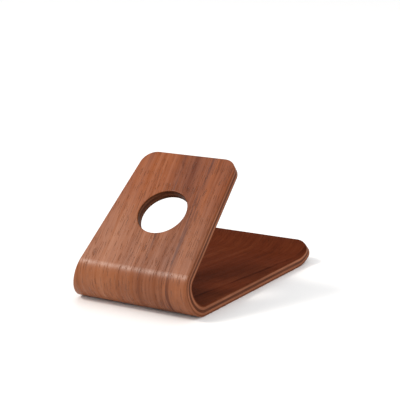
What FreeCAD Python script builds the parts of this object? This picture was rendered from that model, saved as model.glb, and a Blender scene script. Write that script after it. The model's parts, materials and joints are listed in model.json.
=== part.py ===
import FreeCAD, Part
import math
import os

# Phone stand bent from one strip of walnut-faced plywood.
# Section in the YZ plane: a flat base on the desk, a round bend at the rear, a leaf
# that leans forward over the base, and a shallow lip where the base curls up in front.
# +Z is up, the user sits on the -Y side, X is the width. The origin is at desk level,
# in the middle of the stand's width and depth.

# ---- layup, from the rear and underside surface inwards (mm) ----
FACE_VENEER = 0.65
CORE_PLY = 1.0
LAYUP = [
    ("outer_face_veneer", FACE_VENEER),
    ("outer_core_ply", CORE_PLY),
    ("centre_cross_ply", CORE_PLY),
    ("inner_core_ply", CORE_PLY),
    ("inner_face_veneer", FACE_VENEER),
]
THICKNESS = sum(ply for _, ply in LAYUP)

# ---- section of the strip, measured on its outer surface ----
BEND_RADIUS = 9.6
LEAF_ANGLE = math.radians(40.0)
LEAF_LENGTH = 55.5
FLAT_LENGTH = 78.0
LIP_RADIUS = 18.0
LIP_SWEEP = math.radians(50.0)

# ---- plan of the strip ----
BASE_HALF_WIDTH = 28.0
NECK_HALF_WIDTH = 24.7
TOP_HALF_WIDTH = 21.4
CORNER_RADIUS = 6.4
NECK_STATIONS = 4

# ---- cable hole through the leaf ----
HOLE_RADIUS = 10.25
HOLE_BELOW_TOP = 29.0

# Round sanded along the rims of both faces of the strip.
EASED_RADIUS = 0.4

# How far the cutting tools stand clear of the wood they cut.
CLEAR = 3.0
CUTTER_WIDTH = 20.0
ON_SURFACE = 0.005

# Depth of the whole stand is centred on Y = 0, and the lip's eased rim is its front.
RIM_LOSS = EASED_RADIUS * (math.sin(LIP_SWEEP) + math.cos(LIP_SWEEP) - 1)
LIP_REACH = LIP_RADIUS * math.sin(LIP_SWEEP) - RIM_LOSS
BEND_Y = (FLAT_LENGTH + LIP_REACH - BEND_RADIUS) / 2
LIP_Y = BEND_Y - FLAT_LENGTH

X_AXIS = FreeCAD.Vector(1, 0, 0)
LEAF_UP = FreeCAD.Vector(0, -math.cos(LEAF_ANGLE), math.sin(LEAF_ANGLE))
LEAF_OUT = FreeCAD.Vector(0, math.sin(LEAF_ANGLE), math.cos(LEAF_ANGLE))
LIP_UP = FreeCAD.Vector(0, -math.cos(LIP_SWEEP), math.sin(LIP_SWEEP))
LIP_OUT = FreeCAD.Vector(0, -math.sin(LIP_SWEEP), -math.cos(LIP_SWEEP))


def bend_point(angle, depth):
    """Point in the bend; angle is measured from +Y towards +Z."""
    radius = BEND_RADIUS - depth
    return FreeCAD.Vector(0, BEND_Y + radius * math.cos(angle), BEND_RADIUS + radius * math.sin(angle))


def leaf_point(distance, depth):
    """Point in the leaf, at a distance up from the end of the bend."""
    return bend_point(math.pi / 2 - LEAF_ANGLE, depth) + LEAF_UP * distance


def lip_point(sweep, depth):
    """Point in the lip, at a sweep angle up from the flat base."""
    radius = LIP_RADIUS - depth
    return FreeCAD.Vector(0, LIP_Y - radius * math.sin(sweep), LIP_RADIUS - radius * math.cos(sweep))


def surface_edges(depth):
    """Edges of the section from the top of the leaf to the end of the lip."""
    bend_start = math.pi / 2 - LEAF_ANGLE
    bend_end = -math.pi / 2
    top = leaf_point(LEAF_LENGTH, depth)
    leaf_end = leaf_point(0, depth)
    rear = bend_point((bend_start + bend_end) / 2, depth)
    base_rear = bend_point(bend_end, depth)
    base_front = lip_point(0, depth)
    lip_middle = lip_point(LIP_SWEEP / 2, depth)
    lip_end = lip_point(LIP_SWEEP, depth)
    return [
        Part.makeLine(top, leaf_end),
        Part.Arc(leaf_end, rear, base_rear).toShape(),
        Part.makeLine(base_rear, base_front),
        Part.Arc(base_front, lip_middle, lip_end).toShape(),
    ]


def ply_blank(outer_depth, inner_depth):
    """Ply at full width, before the sides, corners and hole are cut."""
    edges = surface_edges(outer_depth) + surface_edges(inner_depth)
    edges.append(Part.makeLine(leaf_point(LEAF_LENGTH, outer_depth), leaf_point(LEAF_LENGTH, inner_depth)))
    edges.append(Part.makeLine(lip_point(LIP_SWEEP, outer_depth), lip_point(LIP_SWEEP, inner_depth)))
    face = Part.Face(Part.Wire(Part.__sortEdges__(edges)))
    face.translate(X_AXIS * -BASE_HALF_WIDTH)
    return face.extrude(X_AXIS * (2 * BASE_HALF_WIDTH))


def neck_half_width(share):
    """Half width in the bend; share runs from 0 at the base to 1 at the leaf."""
    leaf_slope = (NECK_HALF_WIDTH - TOP_HALF_WIDTH) / LEAF_LENGTH
    bend_length = BEND_RADIUS * (math.pi - LEAF_ANGLE)
    narrowing = BASE_HALF_WIDTH - NECK_HALF_WIDTH
    end_slope = leaf_slope * bend_length / narrowing
    blend = (3 - end_slope) * share ** 2 + (end_slope - 2) * share ** 3
    return BASE_HALF_WIDTH - narrowing * blend


def cutter_section(outside, inside, half_width):
    """Rectangle across the strip's thickness, outboard of the finished side."""
    near = X_AXIS * half_width
    far = X_AXIS * (half_width + CUTTER_WIDTH)
    return Part.makePolygon([outside + near, inside + near, inside + far, outside + far, outside + near])


def side_cutters():
    """Solids that trim the +X side of the bend and of the leaf."""
    outside = -CLEAR
    inside = THICKNESS + CLEAR
    sections = []
    for station in range(NECK_STATIONS + 1):
        share = station / NECK_STATIONS
        angle = -math.pi / 2 + share * (math.pi - LEAF_ANGLE)
        half_width = neck_half_width(share)
        sections.append(cutter_section(bend_point(angle, outside), bend_point(angle, inside), half_width))
    over = LEAF_LENGTH + CLEAR
    half_width = NECK_HALF_WIDTH + (TOP_HALF_WIDTH - NECK_HALF_WIDTH) * over / LEAF_LENGTH
    above_leaf = cutter_section(leaf_point(over, outside), leaf_point(over, inside), half_width)
    bend_cutter = Part.makeLoft(sections, True, False)
    leaf_cutter = Part.makeLoft([sections[-1], above_leaf], True, True)
    return [bend_cutter, leaf_cutter]


def corner_cutter(end_point, along, outward, half_width, slope):
    """Solid that rounds the +X corner of a strip end; slope widens the strip away from the end."""
    length = math.hypot(1, slope)
    centre_x = half_width + slope * CORNER_RADIUS - CORNER_RADIUS * length
    middle_turn = (math.pi / 2 - math.atan(slope)) / 2
    top_tangent = (centre_x, 0)
    middle = (centre_x + CORNER_RADIUS * math.sin(middle_turn), CORNER_RADIUS * (1 - math.cos(middle_turn)))
    side_tangent = (centre_x + CORNER_RADIUS / length, CORNER_RADIUS * (1 - slope / length))

    def place(point):
        return end_point + X_AXIS * point[0] - along * point[1] + outward * CLEAR

    side_x = side_tangent[0] + CLEAR
    beyond = -CLEAR
    edges = [
        Part.Arc(place(top_tangent), place(middle), place(side_tangent)).toShape(),
        Part.makeLine(place(side_tangent), place((side_x, side_tangent[1]))),
        Part.makeLine(place((side_x, side_tangent[1])), place((side_x, beyond))),
        Part.makeLine(place((side_x, beyond)), place((centre_x, beyond))),
        Part.makeLine(place((centre_x, beyond)), place(top_tangent)),
    ]
    face = Part.Face(Part.Wire(edges))
    return face.extrude(outward * -(THICKNESS + 2 * CLEAR))


def mirrored(shape):
    """The same tool on the -X side."""
    return shape.mirror(FreeCAD.Vector(0, 0, 0), X_AXIS)


def hole_cutter():
    """Cylinder square to the leaf."""
    start = leaf_point(LEAF_LENGTH - HOLE_BELOW_TOP, 0) + LEAF_OUT * CLEAR
    return Part.makeCylinder(HOLE_RADIUS, THICKNESS + 2 * CLEAR, start, LEAF_OUT * -1)


def make_cutters():
    """All the tools that turn a full-width ply into its finished outline."""
    leaf_slope = (NECK_HALF_WIDTH - TOP_HALF_WIDTH) / LEAF_LENGTH
    leaf_end = leaf_point(LEAF_LENGTH, 0)
    lip_end = lip_point(LIP_SWEEP, 0)
    right = side_cutters() + [
        corner_cutter(leaf_end, LEAF_UP, LEAF_OUT, TOP_HALF_WIDTH, leaf_slope),
        corner_cutter(lip_end, LIP_UP, LIP_OUT, BASE_HALF_WIDTH, 0),
    ]
    return right + [mirrored(tool) for tool in right] + [hole_cutter()]


def depth_at(point):
    """How deep a point lies below the rear and underside surface."""
    if point.y < LIP_Y:
        return LIP_RADIUS - math.hypot(point.y - LIP_Y, point.z - LIP_RADIUS)
    from_bend = FreeCAD.Vector(0, point.y - BEND_Y, point.z - BEND_RADIUS)
    outward = from_bend.dot(LEAF_OUT)
    if outward > 0 and from_bend.dot(LEAF_UP) > 0:
        return BEND_RADIUS - outward
    if from_bend.y < 0 and from_bend.z < 0:
        return point.z
    return BEND_RADIUS - from_bend.Length


def eased(shape, depth):
    """The ply with a small round along every rim of its surface at that depth."""
    borders = []
    for face in shape.Faces:
        if all(abs(depth_at(vertex.Point) - depth) < ON_SURFACE for vertex in face.Vertexes):
            borders.extend(face.Edges)
    rim = [edge for edge in borders if sum(edge.isSame(other) for other in borders) == 1]
    return shape.makeFillet(EASED_RADIUS, rim)


def build():
    os.makedirs("parts", exist_ok=True)
    cutters = make_cutters()
    outer_depth = 0
    for node, ply in LAYUP:
        inner_depth = outer_depth + ply
        shape = ply_blank(outer_depth, inner_depth)
        for tool in cutters:
            shape = shape.cut(tool)
        if node == LAYUP[0][0]:
            shape = eased(shape, outer_depth)
        if node == LAYUP[-1][0]:
            shape = eased(shape, inner_depth)
        shape.exportStep("parts/" + node + ".step")
        outer_depth = inner_depth


build()
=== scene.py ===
"""Looks of the bent-plywood phone stand: walnut veneers, plywood edges, light, floor and camera.

Metres, in the CAD model's frame: +Z up, X across the strip, +Y towards the rear bend.
"""
import json
import math

import bpy
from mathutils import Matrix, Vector


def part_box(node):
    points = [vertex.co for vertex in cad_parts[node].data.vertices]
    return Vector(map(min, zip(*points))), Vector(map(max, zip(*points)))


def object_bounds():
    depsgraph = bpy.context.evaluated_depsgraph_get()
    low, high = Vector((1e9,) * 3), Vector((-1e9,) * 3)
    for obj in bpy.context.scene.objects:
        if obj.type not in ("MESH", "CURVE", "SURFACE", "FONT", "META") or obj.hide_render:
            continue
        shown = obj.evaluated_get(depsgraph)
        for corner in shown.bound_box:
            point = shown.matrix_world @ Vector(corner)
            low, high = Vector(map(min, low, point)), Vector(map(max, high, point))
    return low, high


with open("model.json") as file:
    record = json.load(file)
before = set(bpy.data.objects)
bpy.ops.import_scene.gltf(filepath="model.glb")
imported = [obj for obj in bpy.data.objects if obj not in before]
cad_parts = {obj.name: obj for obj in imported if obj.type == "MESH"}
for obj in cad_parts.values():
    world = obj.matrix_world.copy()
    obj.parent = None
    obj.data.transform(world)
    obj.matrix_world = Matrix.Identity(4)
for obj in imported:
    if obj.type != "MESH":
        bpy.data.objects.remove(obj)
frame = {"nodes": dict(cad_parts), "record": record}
cad_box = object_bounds()

# ---- the strip, as the CAD model bends it ----
BEND_RADIUS = 0.0096
LIP_RADIUS = 0.018
FLAT_LENGTH = 0.078
THICKNESS = 0.0043
MOUNTS = {mount["name"]: mount for mount in frame["record"]["mounts"]}
LEAF_OUT = Vector(MOUNTS["cable_hole"]["axis"])
LEAF_UP = Vector((0, -LEAF_OUT.z, LEAF_OUT.y))
LEAF_TURN = math.atan2(LEAF_OUT.z, LEAF_OUT.y)
BEND_Y = cad_box[1][1] - BEND_RADIUS
LIP_Y = BEND_Y - FLAT_LENGTH
LEAF_START = BEND_RADIUS * (LEAF_TURN + math.pi / 2)
HOLE_RADIUS = MOUNTS["cable_hole"]["dims"]["r_mm"] / 1000
HOLE_CENTRE = Vector(MOUNTS["cable_hole"]["pos_m"]) - Vector((0, BEND_Y, BEND_RADIUS))
HOLE_ALONG = LEAF_START + HOLE_CENTRE.dot(LEAF_UP)

# ---- tones of the wood (linear RGB) ----
# Towards the top of the leaf UPPER_WARMTH_AND_LOW_SHEEN is multiplied in: partly the walnut's own tone,
# partly painted, standing in for the weaker sheen reflected there. The inner sheet has the SHADED tones,
# darker than the outer sheet's: painted shade, as of the phone that stands over it.
WALNUT_DARK = (0.112, 0.027, 0.008, 1)
WALNUT_MID = (0.242, 0.073, 0.023, 1)
WALNUT_LIGHT = (0.350, 0.126, 0.050, 1)
UPPER_WARMTH_AND_LOW_SHEEN = (1.0, 0.78, 0.34, 1)
SHADED_DARK = (0.055, 0.011, 0.004, 1)
SHADED_MID = (0.092, 0.019, 0.007, 1)
SHADED_LIGHT = (0.150, 0.039, 0.014, 1)
PORE = (0.060, 0.016, 0.007, 1)
EDGE_LONG = (0.330, 0.122, 0.062, 1)
EDGE_LONG_DARK = (0.200, 0.066, 0.031, 1)
EDGE_END = (0.118, 0.036, 0.016, 1)
EDGE_END_DARK = (0.072, 0.022, 0.010, 1)
GLUE = (0.040, 0.013, 0.007, 1)
# Painted shade: the dark tone laid on the wall of the cable hole, which lies in shade.
HOLE_WALL_SHADE = (0.055, 0.020, 0.011, 1)
FLOOR_MOTTLE = (0.93, 0.93, 0.93, 1)
FLOOR_TONE = (0.95, 0.95, 0.95, 1)

# ---- wood noises: features per metre across, along and through the sheet, detail, roughness ----
WAVER = ((55.0, 26.0, 1.0), 1.0)
BANDS = ((120.0, 9.0, 1.0), 2.0)
LINES = ((620.0, 16.0, 40.0), 3.0, 0.6)
FIBRES = ((2600.0, 90.0, 400.0), 2.0)
RIPPLE = ((60.0, 160.0, 1.0), 2.0)
BREAKS = ((1100.0, 60.0, 1.0), 2.0)
PORES = ((2300.0, 170.0, 900.0), 1.0)
PORE_CROWDS = ((160.0, 30.0, 1.0), 1.0)
PLY_LINES = ((300.0, 35.0, 5200.0), 2.0)
PLY_SPECKS = ((2600.0, 2600.0, 2600.0), 1.0)
PLY_PATCHES = ((90.0, 90.0, 300.0), 2.0)
FLOOR_GRIT = ((30.0, 30.0, 30.0), 3.0)
NOISE_MIDDLE = 0.5

# ---- tone of the face veneer: the share of each noise, and the level taken off their sum ----
BANDS_SHARE = 0.80
LINES_SHARE = 0.44
FIBRES_SHARE = 0.34
RIPPLE_SHARE = 0.24
TONE_LEVEL = 0.425
TONE_STOPS = (0.0, 0.48, 1.0)

# ---- its figure and a band of painted shade: streaks and bands are (across at the leaf's start, half width, strength) ----
GRAIN_SLANT = 0.10
BREAK_STEP = (0.36, 0.66)
STREAKS = [(-0.0158, 0.0014, 0.66), (-0.0035, 0.0008, 0.30), (0.0125, 0.0009, 0.20)]
PALE_BAND = (-0.0190, 0.0024, 0.18)
HEART = (-0.0060, 0.0170, 0.25)
HEART_RISE = (LEAF_START + 0.012, LEAF_START + 0.042)
# Painted shade: the outer sheet is darker on its -X side, away from the key light.
PAINTED_SHADE_SIDE = (-0.0170, 0.0200, 0.23)
OUTER_SHEET = {
    "sheet": 0.31, "sway": 0.0026, "shine": 0.60, "tones": (WALNUT_DARK, WALNUT_MID, WALNUT_LIGHT),
}
INNER_SHEET = {
    "sheet": 0.83, "sway": 0.0010, "shine": 0.03, "tones": (SHADED_DARK, SHADED_MID, SHADED_LIGHT),
}

# ---- pores, bare edges and sheen of the face veneer ----
CROWD_SHARE = 0.16
PORE_STEP = (0.68, 0.78)
PORE_STRENGTH = 0.32
EDGE_STEP = (0.00012, 0.00045)
EDGE_STRENGTH = 0.85
# Painted shade on the wall of the cable hole: where the wall is, and how strongly it is darkened.
HOLE_STEP = (HOLE_RADIUS + 0.00003, HOLE_RADIUS + 0.00020)
HOLE_SHADE_STRENGTH = 0.75
SHEEN_STEP = (0.30, 0.70)
SHEEN_LOW = 0.72
SHEEN_RISE = 0.6
FACE_ROUGHNESS = 0.42
FIBRE_ROUGHNESS = 0.16
PORE_ROUGHNESS = 0.22
FIBRE_HEIGHT = 0.6
FACE_BUMP = 0.00012
FACE_COAT_ROUGHNESS = 0.34

# ---- sides and ends of the plies; each sheet number sets a ply's wood apart from the others' ----
OUTER_CORE_SHEET = 0.07
CROSS_SHEET = 0.19
INNER_CORE_SHEET = 0.43
SIDE_LINES_SHARE = 0.6
END_SPECKS_SHARE = 0.7
RELIEF_LINES_SHARE = 0.5
SIDE_STEP = (0.32, 0.66)
END_STEP = (0.36, 0.64)
TURN_STEP = (0.25, 0.85)
GLUE_LINE = 0.00012
GLUE_STRENGTH = 0.7
# How strongly painted shade darkens the plies on the wall of the cable hole.
PLY_HOLE_SHADE_STRENGTH = 0.65
PLY_ROUGHNESS = 0.42
SPECK_ROUGHNESS = 0.20
PLY_BUMP = 0.00004
PLY_FINISH = {"Specular IOR Level": 0.02, "Coat Weight": 0.05, "Coat Roughness": 0.4}

# ---- camera, lights and floor ----
CAMERA_FROM_BEND = Vector((-0.2617, 0.3937, 0.1495))
CAMERA_AZIMUTH = math.radians(210.95)
CAMERA_ELEVATION = math.radians(12.9)
SENSOR_WIDTH = 36.0
LENS = 115.4
KEY_DIRECTION = Vector((0.590, 0.362, 0.750))
KEY_DISTANCE = 1.5
KEY_SIZE = 0.30
KEY_POWER = 10.4
KEY_COLOUR = (1.0, 0.93, 0.85)
FILL_DIRECTION = Vector((-0.60, 0.70, 0.40))
FILL_DISTANCE = 1.2
FILL_SIZE = 0.9
FILL_POWER = 0.8
FILL_COLOUR = (1.0, 1.0, 1.0)
SKY_COLOUR = (1.0, 1.0, 1.0, 1.0)
SKY_STRENGTH = 1.0
FLOOR_HALF = 4.0
FLOOR_ROUGHNESS = 0.5
GRIT_ROUGHNESS = 0.1
FLOOR_BUMP = 0.00002


class Graph:
    """A material's node tree, with short calls for the nodes used here."""

    def __init__(self, name):
        self.material = bpy.data.materials.new(name)
        self.material.use_nodes = True
        self.tree = self.material.node_tree
        self.tree.nodes.clear()

    def feed(self, socket, value):
        """Links an output to the socket, or sets the socket's own value."""
        if isinstance(value, bpy.types.NodeSocket):
            self.tree.links.new(value, socket)
        else:
            socket.default_value = value

    def add(self, kind, inputs=(), **settings):
        """Adds a node; inputs pairs a socket's name or number with what feeds it."""
        node = self.tree.nodes.new(kind)
        for key, value in settings.items():
            setattr(node, key, value)
        for key, value in dict(inputs).items():
            self.feed(node.inputs[key], value)
        return node

    def math(self, operation, *values):
        """One step of arithmetic on outputs and plain numbers."""
        return self.add("ShaderNodeMath", enumerate(values), operation=operation).outputs[0]

    def smooth(self, value, low, high):
        """0 below low and 1 above high, with a smooth step between them."""
        inputs = {"Value": value, "From Min": low, "From Max": high}
        node = self.add("ShaderNodeMapRange", inputs, interpolation_type="SMOOTHSTEP")
        return node.outputs["Result"]

    def noise(self, place, scale, detail=2.0, rough=0.5):
        """Noise in 0 to 1; scale gives its features per metre across, along and through."""
        stretched = self.add("ShaderNodeVectorMath", {0: place, 1: scale}, operation="MULTIPLY")
        inputs = {"Vector": stretched.outputs[0], "Scale": 1.0, "Detail": detail, "Roughness": rough}
        return self.add("ShaderNodeTexNoise", inputs).outputs["Fac"]

    def choose(self, share, first, second):
        """The first number where share is 0 and the second where it is 1."""
        return self.add("ShaderNodeMix", {0: share, 2: first, 3: second}).outputs[0]

    def mix(self, share, first, second, blend="MIX"):
        """Mixes two colours; 6, 7 and 2 are the colour sockets among the Mix node's many."""
        node = self.add("ShaderNodeMix", data_type="RGBA", blend_type=blend)
        self.feed(node.inputs[0], share)
        self.feed(node.inputs[6], first)
        self.feed(node.inputs[7], second)
        return node.outputs[2]

    def ramp(self, value, stops):
        """Colour ramp through (position, colour) stops."""
        node = self.add("ShaderNodeValToRGB", {"Fac": value})
        elements = node.color_ramp.elements
        while len(elements) < len(stops):
            elements.new(0.5)  # moved to its own stop below
        for element, (position, colour) in zip(elements, stops):
            element.position = position
            element.color = colour
        return node.outputs["Color"]

    def surface(self, colour, roughness, height, bump_depth, finish):
        """Principled surface with bump; finish pairs more of the shader's sockets with their values."""
        bump = self.add("ShaderNodeBump", {"Height": height, "Distance": bump_depth, "Strength": 1.0})
        inputs = {"Base Color": colour, "Roughness": roughness, "Normal": bump.outputs["Normal"]}
        inputs["Coat Normal"] = bump.outputs["Normal"]
        inputs.update(finish)
        shader = self.add("ShaderNodeBsdfPrincipled", inputs)
        self.add("ShaderNodeOutputMaterial", {"Surface": shader.outputs["BSDF"]})
        return self.material


class Offsets:
    """A point's offsets from the centres of the bend and the lip, and along and off the leaf."""

    def __init__(self, g):
        point = g.add("ShaderNodeTexCoord").outputs["Object"]
        self.x, y, z = g.add("ShaderNodeSeparateXYZ", {"Vector": point}).outputs
        self.rear = g.math("SUBTRACT", y, BEND_Y)
        self.rise = g.math("SUBTRACT", z, BEND_RADIUS)
        self.upper = g.math("GREATER_THAN", self.rise, 0.0)
        self.lower = g.math("SUBTRACT", 1.0, self.upper)
        self.up = self.towards(g, LEAF_UP)
        self.out = self.towards(g, LEAF_OUT)
        self.lip_reach = g.math("MAXIMUM", g.math("SUBTRACT", LIP_Y, y), 0.0)
        self.lip_drop = g.math("SUBTRACT", LIP_RADIUS, z)

    def towards(self, g, way):
        """How far the point lies from the bend's centre in a direction of the YZ plane."""
        return g.math("ADD", g.math("MULTIPLY", self.rear, way.y), g.math("MULTIPLY", self.rise, way.z))


def length(g, first, second):
    """Length of a vector with two parts at a right angle."""
    return g.math("SQRT", g.math("ADD", g.math("POWER", first, 2.0), g.math("POWER", second, 2.0)))


def run_along(g, at):
    """Distance along the outer surface: 0 where the flat meets the bend, negative on the base and lip."""
    turn = g.math("ARCTAN2", at.rise, at.rear)
    turn = g.math("MINIMUM", g.math("MAXIMUM", turn, -math.pi / 2), LEAF_TURN)
    bend_run = g.math("MULTIPLY", g.math("ADD", turn, math.pi / 2), BEND_RADIUS)
    leaf_run = g.math("MULTIPLY", g.math("MAXIMUM", at.up, 0.0), at.upper)
    base_run = g.math("MAXIMUM", g.math("MINIMUM", at.rear, 0.0), -FLAT_LENGTH)
    lip_run = g.math("MULTIPLY", g.math("ARCTAN2", at.lip_reach, at.lip_drop), -LIP_RADIUS)
    low_run = g.math("MULTIPLY", g.math("ADD", base_run, lip_run), at.lower)
    return g.math("ADD", g.math("ADD", bend_run, leaf_run), low_run)


def depth_below(g, at):
    """Depth below the outer surface, in the bend, the leaf or the base and its lip."""
    on_leaf = g.math("MULTIPLY", g.math("GREATER_THAN", at.up, 0.0), at.upper)
    on_base = g.math("MULTIPLY", g.math("LESS_THAN", at.rear, 0.0), at.lower)
    bend_part = g.math("SUBTRACT", BEND_RADIUS, length(g, at.rear, at.rise))
    leaf_part = g.math("SUBTRACT", BEND_RADIUS, at.out)
    base_part = g.math("SUBTRACT", LIP_RADIUS, length(g, at.lip_reach, at.lip_drop))
    depth = g.choose(on_leaf, bend_part, leaf_part)
    return g.choose(on_base, depth, base_part)


def unrolled(g):
    """Where a point lies on the strip as if it were flat: across, along and depth, in metres."""
    at = Offsets(g)
    return at.x, run_along(g, at), depth_below(g, at)


def grain_place(g, x, along, depth, sheet, sway):
    """Position in the sheet of veneer, with the grain's slant and slow waver; sheet sets each apart."""
    flat = g.add("ShaderNodeCombineXYZ", {"X": x, "Y": along, "Z": sheet}).outputs["Vector"]
    waver = g.math("SUBTRACT", g.noise(flat, *WAVER), NOISE_MIDDLE)
    drift = g.math("MULTIPLY", g.math("SUBTRACT", along, LEAF_START), -GRAIN_SLANT)
    across = g.math("ADD", g.math("ADD", x, drift), g.math("MULTIPLY", waver, sway))
    through = g.math("ADD", depth, sheet)
    place = g.add("ShaderNodeCombineXYZ", {"X": across, "Y": along, "Z": through}).outputs["Vector"]
    return across, place


def streak(g, across, place, centre, width, strength):
    """Share of a long streak: soft-edged, and broken up along its length."""
    off = g.math("ABSOLUTE", g.math("SUBTRACT", across, centre))
    body = g.math("SUBTRACT", 1.0, g.smooth(off, 0.0, width))
    broken = g.smooth(g.noise(place, *BREAKS), *BREAK_STEP)
    return g.math("MULTIPLY", g.math("MULTIPLY", body, broken), strength)


def broad(g, across, centre, width, strength):
    """Share of a broad soft band of tone."""
    off = g.math("ABSOLUTE", g.math("SUBTRACT", across, centre))
    return g.math("MULTIPLY", g.math("SUBTRACT", 1.0, g.smooth(off, 0.0, width)), strength)


def hole_wall(g, x, along):
    """1 on the wall of the cable hole and 0 elsewhere."""
    rise = g.math("SUBTRACT", along, HOLE_ALONG)
    return g.math("SUBTRACT", 1.0, g.smooth(length(g, x, rise), *HOLE_STEP))


def plain_tone(g, bands, lines, fibres, ripple):
    """Tone of plain veneer, before the sheet's own marks."""
    tone = g.math("MULTIPLY", bands, BANDS_SHARE)
    tone = g.math("ADD", tone, g.math("MULTIPLY", lines, LINES_SHARE))
    tone = g.math("ADD", tone, g.math("MULTIPLY", fibres, FIBRES_SHARE))
    tone = g.math("ADD", tone, g.math("MULTIPLY", ripple, RIPPLE_SHARE))
    return g.math("SUBTRACT", tone, TONE_LEVEL)


def outer_marks(g, tone, across, place, rising):
    """Adds the pale band, the dark heart of the upper leaf, and painted shade on the outer sheet's side
    away from the key light.
    """
    tone = g.math("ADD", tone, streak(g, across, place, *PALE_BAND))
    tone = g.math("SUBTRACT", tone, g.math("MULTIPLY", broad(g, across, *HEART), rising))
    return g.math("SUBTRACT", tone, broad(g, across, *PAINTED_SHADE_SIDE))


def open_pores(g, place):
    """1 in the open pores, which crowd in places, and 0 elsewhere."""
    crowd = g.math("MULTIPLY", g.noise(place, *PORE_CROWDS), CROWD_SHARE)
    return g.smooth(g.math("ADD", g.noise(place, *PORES), crowd), *PORE_STEP)


def face_coat(g, edge, in_hole, lines, shine):
    """Weight of the oil's sheen: streaky on the open face, none on the edge or in the hole."""
    open_face = g.math("SUBTRACT", 1.0, g.math("MAXIMUM", edge, in_hole))
    streaky = g.math("ADD", g.math("MULTIPLY", g.smooth(lines, *SHEEN_STEP), SHEEN_RISE), SHEEN_LOW)
    return g.math("MULTIPLY", g.math("MULTIPLY", open_face, streaky), shine)


def figure(g, inward, along, across, place, noises, tones):
    """Colour of the sheet's figure, before its pores and edges; the outer sheet's also holds painted
    shade on one side and a warmer top that partly stands in for weaker sheen.
    """
    tone = plain_tone(g, *noises)
    if not inward:
        rising = g.smooth(along, *HEART_RISE)
        tone = outer_marks(g, tone, across, place, rising)
    for mark in STREAKS:
        tone = g.math("SUBTRACT", tone, streak(g, across, place, *mark))
    colour = g.ramp(tone, list(zip(TONE_STOPS, tones)))
    if not inward:
        # Warmer towards the top of the leaf: partly the walnut's own tone, partly painted for the weaker
        # sheen reflected there.
        colour = g.mix(rising, colour, UPPER_WARMTH_AND_LOW_SHEEN, "MULTIPLY")
    return colour


def bare_edges(g, colour, lines, edge, in_hole):
    """Darkens the veneer's own edge, and paints shade on the wall of the cable hole."""
    edge_tone = g.mix(lines, EDGE_END_DARK, EDGE_LONG_DARK)
    colour = g.mix(g.math("MULTIPLY", edge, EDGE_STRENGTH), colour, edge_tone)
    return g.mix(g.math("MULTIPLY", in_hole, HOLE_SHADE_STRENGTH), colour, HOLE_WALL_SHADE)


def open_grain(g, fibres, pores):
    """Roughness and height of the open grain."""
    rough_fibres = g.math("MULTIPLY", fibres, FIBRE_ROUGHNESS)
    gloss = g.math("ADD", rough_fibres, g.math("MULTIPLY", pores, PORE_ROUGHNESS))
    height = g.math("SUBTRACT", g.math("MULTIPLY", fibres, FIBRE_HEIGHT), pores)
    return g.math("ADD", gloss, FACE_ROUGHNESS), height


def walnut_face(name, inward, sheet, sway, shine, tones):
    """Face veneer: long-grain walnut with open pores, darker where its own edge shows."""
    g = Graph(name)
    x, along, depth = unrolled(g)
    across, place = grain_place(g, x, along, depth, sheet, sway)
    bands, lines, fibres, ripple = [g.noise(place, *kind) for kind in (BANDS, LINES, FIBRES, RIPPLE)]
    pores = open_pores(g, place)
    from_face = g.math("SUBTRACT", THICKNESS, depth) if inward else depth
    edge = g.smooth(from_face, *EDGE_STEP)
    in_hole = hole_wall(g, x, along)

    colour = figure(g, inward, along, across, place, (bands, lines, fibres, ripple), tones)
    colour = g.mix(g.math("MULTIPLY", pores, PORE_STRENGTH), colour, PORE)
    colour = bare_edges(g, colour, lines, edge, in_hole)
    roughness, height = open_grain(g, fibres, pores)
    coat = face_coat(g, edge, in_hole, lines, shine)
    finish = {"Specular IOR Level": 0.0, "Coat Weight": coat, "Coat Roughness": FACE_COAT_ROUGHNESS}
    return g.surface(colour, roughness, height, FACE_BUMP, finish)


def shared(g, first, share, second):
    """Two noises added in shares that sum to 1; share is the first one's."""
    return g.math("ADD", g.math("MULTIPLY", first, share), g.math("MULTIPLY", second, 1 - share))


def glue_film(g, node, depth):
    """1 in the thin dark line of glue at the ply's outer joint and 0 elsewhere."""
    outer_depth = cad_box[1][1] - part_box(node)[1][1]
    from_joint = g.math("SUBTRACT", depth, outer_depth)
    return g.math("SUBTRACT", 1.0, g.smooth(from_joint, GLUE_LINE / 2, GLUE_LINE))


def ply_edge(node, sheet, side_tones, end_tones):
    """Ply seen at its edge: one pair of tones on the strip's sides, the other across its ends."""
    g = Graph(node + "_wood")
    x, along, depth = unrolled(g)
    flat = g.add("ShaderNodeCombineXYZ", {"X": x, "Y": along, "Z": depth}).outputs["Vector"]
    place = g.add("ShaderNodeVectorMath", {0: flat, 1: (sheet, sheet, 0.0)}, operation="ADD").outputs[0]
    normal = g.add("ShaderNodeTexCoord").outputs["Normal"]
    sideways = g.math("ABSOLUTE", g.add("ShaderNodeSeparateXYZ", {"Vector": normal}).outputs["X"])

    lines, specks, patches = [g.noise(place, *kind) for kind in (PLY_LINES, PLY_SPECKS, PLY_PATCHES)]
    side = g.mix(g.smooth(shared(g, lines, SIDE_LINES_SHARE, patches), *SIDE_STEP), *side_tones)
    end = g.mix(g.smooth(shared(g, specks, END_SPECKS_SHARE, patches), *END_STEP), *end_tones)
    colour = g.mix(g.smooth(sideways, *TURN_STEP), end, side)
    colour = g.mix(g.math("MULTIPLY", glue_film(g, node, depth), GLUE_STRENGTH), colour, GLUE)
    # Painted shade on the wall of the cable hole.
    in_hole = hole_wall(g, x, along)
    colour = g.mix(g.math("MULTIPLY", in_hole, PLY_HOLE_SHADE_STRENGTH), colour, HOLE_WALL_SHADE)
    roughness = g.math("ADD", g.math("MULTIPLY", specks, SPECK_ROUGHNESS), PLY_ROUGHNESS)
    height = shared(g, lines, RELIEF_LINES_SHARE, specks)
    return g.surface(colour, roughness, height, PLY_BUMP, PLY_FINISH)


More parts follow.
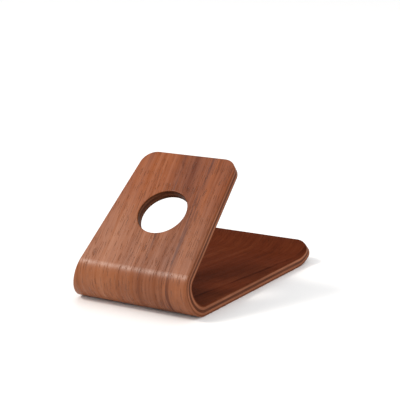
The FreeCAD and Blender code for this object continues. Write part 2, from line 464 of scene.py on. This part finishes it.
def dress_plies():
    """Gives each ply its own wood."""
    long_tones = (EDGE_LONG_DARK, EDGE_LONG)
    end_tones = (EDGE_END_DARK, EDGE_END)
    woods = {
        "outer_face_veneer": walnut_face("outer_walnut", False, **OUTER_SHEET),
        "outer_core_ply": ply_edge("outer_core_ply", OUTER_CORE_SHEET, long_tones, end_tones),
        "centre_cross_ply": ply_edge("centre_cross_ply", CROSS_SHEET, end_tones, long_tones),
        "inner_core_ply": ply_edge("inner_core_ply", INNER_CORE_SHEET, long_tones, end_tones),
        "inner_face_veneer": walnut_face("inner_walnut", True, **INNER_SHEET),
    }
    for node, wood in woods.items():
        for material_slot in frame["nodes"][node].material_slots:
            material_slot.material = wood


def make_floor():
    """Plain pale floor, level with the underside of the base."""
    bpy.ops.mesh.primitive_plane_add(size=2 * FLOOR_HALF, location=(0, 0, cad_box[0][2]))
    floor = bpy.context.object
    floor.name = "floor"
    g = Graph("floor_paint")
    place = g.add("ShaderNodeTexCoord").outputs["Object"]
    mottle = g.noise(place, *FLOOR_GRIT)
    colour = g.mix(mottle, FLOOR_TONE, FLOOR_MOTTLE)
    roughness = g.math("ADD", g.math("MULTIPLY", mottle, GRIT_ROUGHNESS), FLOOR_ROUGHNESS)
    floor.data.materials.append(g.surface(colour, roughness, mottle, FLOOR_BUMP, {}))


def add_softbox(name, direction, distance, size, power, colour):
    """Square area light that faces the middle of the stand."""
    light = bpy.data.lights.new(name, "AREA")
    light.size = size
    light.energy = power
    light.color = colour
    softbox = bpy.data.objects.new(name, light)
    middle = (Vector(cad_box[0]) + Vector(cad_box[1])) / 2
    softbox.location = middle + direction.normalized() * distance
    softbox.rotation_euler = direction.to_track_quat("Z", "Y").to_euler()
    bpy.context.collection.objects.link(softbox)


def make_light():
    """Key light high to one side, a broad fill from the camera's side and an even pale sky."""
    add_softbox("key", KEY_DIRECTION, KEY_DISTANCE, KEY_SIZE, KEY_POWER, KEY_COLOUR)
    add_softbox("fill", FILL_DIRECTION, FILL_DISTANCE, FILL_SIZE, FILL_POWER, FILL_COLOUR)
    world = bpy.data.worlds.new("studio")
    world.use_nodes = True
    background = world.node_tree.nodes["Background"]
    background.inputs["Color"].default_value = SKY_COLOUR
    background.inputs["Strength"].default_value = SKY_STRENGTH
    bpy.context.scene.world = world
    bpy.context.scene.view_settings.view_transform = "Standard"


def make_camera():
    """Camera low behind the stand, on its -X side."""
    data = bpy.data.cameras.new("camera")
    data.lens = LENS
    data.sensor_width = SENSOR_WIDTH
    camera = bpy.data.objects.new("camera", data)
    camera.location = Vector((0, BEND_Y, 0)) + CAMERA_FROM_BEND
    camera.rotation_euler = (math.pi / 2 - CAMERA_ELEVATION, 0, CAMERA_AZIMUTH)
    bpy.context.collection.objects.link(camera)
    bpy.context.scene.camera = camera


dress_plies()
make_floor()
make_light()
make_camera()
